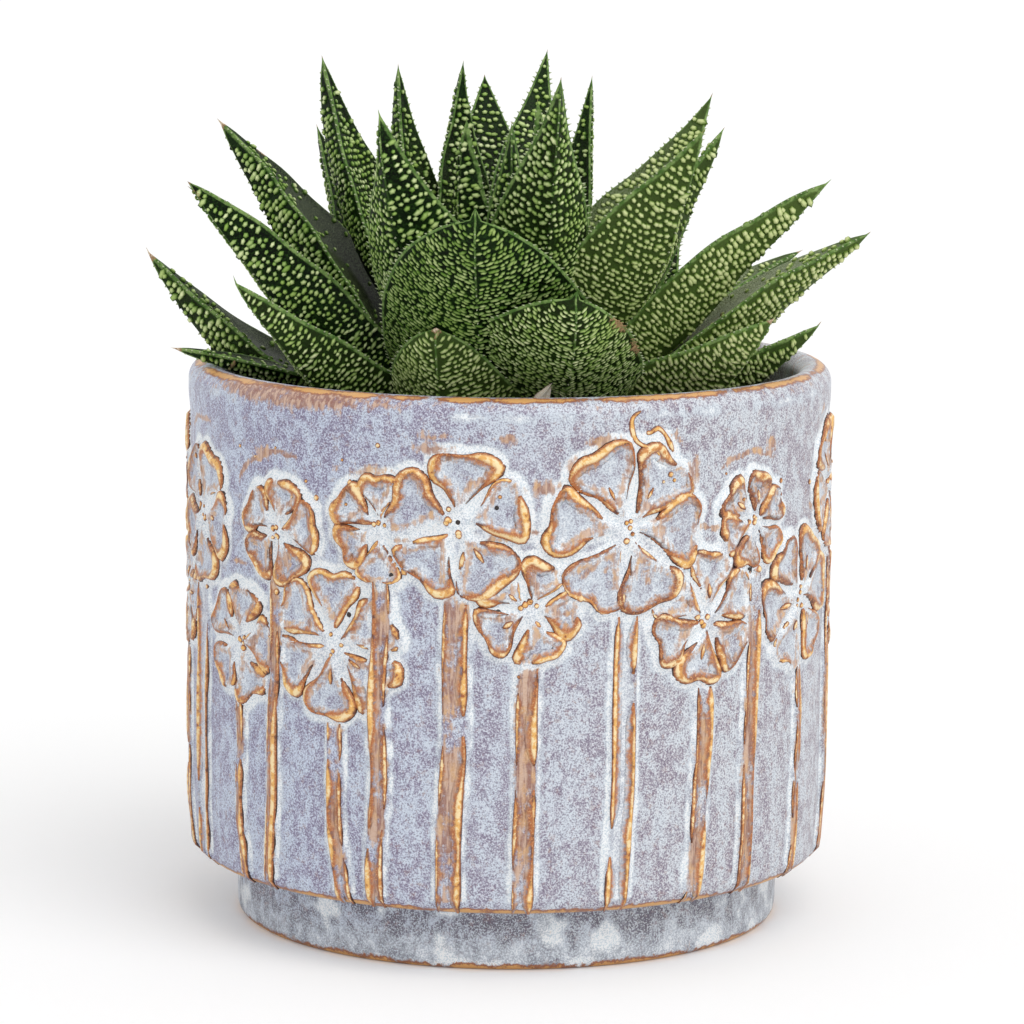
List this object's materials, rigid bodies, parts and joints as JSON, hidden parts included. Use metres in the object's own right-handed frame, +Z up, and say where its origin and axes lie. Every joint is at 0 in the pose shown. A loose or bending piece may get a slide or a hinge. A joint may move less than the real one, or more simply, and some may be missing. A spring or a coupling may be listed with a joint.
{
  "type": "potted gasteria",
  "caption": "Rosette succulent with thick, pointed, keeled leaves growing from soil in a round glazed stoneware pot; a small houseplant for a table or shelf.",
  "frame": {"origin": "centre of the pot's underside, on the plane it stands on", "axes": "+Z up along the pot's axis; -Y towards the plant's best side; +X to the right seen from there"},
  "size_m": [0.1554, 0.14, 0.1856],
  "materials": {
    "glaze": "glossy, mottled lavender-blue reactive glaze with rust and gold edges on raised lines",
    "leaf": "satin, deep green skin with raised pale yellow-green tubercles; stands in for fleshy leaf",
    "stem": "matt, pale green-brown plant stem",
    "dry_leaf": "matt, tan, dried and papery",
    "soil": "rough, dark crumbly potting soil"
  },
  "bodies": {
    "root": {"pot": "glaze", "soil": "soil", "stem": "stem", "leaf_01": "leaf", "leaf_02": "leaf", "leaf_03": "leaf", "leaf_04": "leaf", "leaf_05": "leaf", "leaf_06": "leaf", "leaf_07": "leaf", "leaf_08": "leaf", "leaf_09": "leaf", "leaf_10": "leaf", "leaf_11": "leaf", "leaf_12": "leaf", "leaf_13": "leaf", "leaf_14": "leaf", "leaf_15": "leaf", "leaf_16": "leaf", "leaf_17": "leaf", "leaf_18": "leaf", "leaf_19": "leaf", "leaf_20": "leaf", "leaf_21": "leaf", "leaf_22": "leaf", "leaf_23": "leaf", "leaf_24": "leaf", "leaf_25": "leaf", "leaf_26": "leaf", "leaf_27": "leaf", "leaf_28": "leaf", "leaf_29": "leaf", "leaf_30": "leaf", "leaf_31": "leaf", "leaf_32": "leaf", "leaf_33": "leaf", "leaf_34": "leaf", "leaf_35": "leaf", "leaf_36": "leaf", "leaf_37": "leaf", "leaf_38": "leaf", "leaf_39": "leaf", "leaf_40": "leaf", "withered_leaf": "dry_leaf"}
  },
  "joints": []
}
